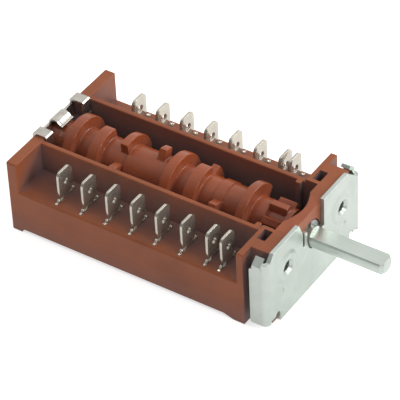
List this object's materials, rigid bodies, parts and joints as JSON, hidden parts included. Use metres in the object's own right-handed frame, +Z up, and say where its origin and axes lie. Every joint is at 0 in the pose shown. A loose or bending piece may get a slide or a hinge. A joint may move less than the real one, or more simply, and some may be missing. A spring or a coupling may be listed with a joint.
{
  "type": "rotary cam selector switch",
  "caption": "Rotary selector switch: an open moulded body with two rows of flat connector tabs, a cam drum between them, a steel mounting plate and a shaft with one flat.",
  "frame": {"origin": "on the shaft's axis, in the front face of the mounting plate, midway between its screw holes", "axes": "+X out along the shaft, +Y across the body to the right as seen from the shaft's end, +Z up out of the open side"},
  "size_m": [0.1074, 0.0482, 0.0255],
  "materials": {
    "housing_moulding": "brown thermoset moulding, low satin",
    "bearing_moulding": "redder brown thermoset moulding, low satin",
    "drum_moulding": "dark brown thermoset moulding, satin",
    "base_laminate": "phenolic paper sheet, matt",
    "plate_zinc": "zinc plated sheet steel, satin",
    "clip_steel": "bright spring steel",
    "shaft_steel": "zinc plated, satin",
    "tab_metal": "tin plated brass, bright",
    "leaf_bronze": "phosphor bronze, satin",
    "contact_brass": "brass, satin",
    "tip_silver": "silver contact, satin",
    "ball_steel": "polished steel ball",
    "spring_steel": "plain spring steel"
  },
  "bodies": {
    "body": {"housing": "housing_moulding", "bearing_block": "bearing_moulding", "front_plate": "plate_zinc", "rear_clip": "clip_steel", "base_sheet": "base_laminate", "tab_left_1": "tab_metal", "tab_left_2": "tab_metal", "tab_left_3": "tab_metal", "tab_left_4": "tab_metal", "tab_left_5": "tab_metal", "tab_left_6": "tab_metal", "tab_left_7": "tab_metal", "tab_left_8": "tab_metal", "tab_right_1": "tab_metal", "tab_right_2": "tab_metal", "tab_right_3": "tab_metal", "tab_right_4": "tab_metal", "tab_right_5": "tab_metal", "tab_right_6": "tab_metal", "tab_right_7": "tab_metal", "tab_right_8": "tab_metal", "leaf_left_1": "leaf_bronze", "leaf_left_2": "leaf_bronze", "leaf_left_3": "leaf_bronze", "leaf_left_4": "leaf_bronze", "leaf_left_5": "leaf_bronze", "leaf_left_6": "leaf_bronze", "leaf_left_7": "leaf_bronze", "leaf_right_1": "leaf_bronze", "leaf_right_2": "leaf_bronze", "leaf_right_3": "leaf_bronze", "leaf_right_4": "leaf_bronze", "leaf_right_5": "leaf_bronze", "leaf_right_6": "leaf_bronze", "leaf_right_7": "leaf_bronze", "common_rail": "contact_brass", "contact_tips": "tip_silver", "contact_rivets": "contact_brass"},
    "rotor": {"cam_drum": "drum_moulding", "shaft": "shaft_steel", "shaft_ring": "spring_steel"},
    "detent": {"detent_ball": "ball_steel", "detent_spring": "spring_steel"}
  },
  "joints": [
    {"name": "rotor_spin", "type": "hinge", "parent": "body", "child": "rotor", "pos_m": [0, 0, 0], "axis": [1, 0, 0], "continuous": true},
    {"name": "detent_lift", "type": "slide", "parent": "body", "child": "detent", "axis": [0, 0, 1], "range_m": [0, 0.0009], "stiffness_N_per_m": 2000, "springref_m": 0.002, "deforming": ["detent_spring"]}
  ]
}
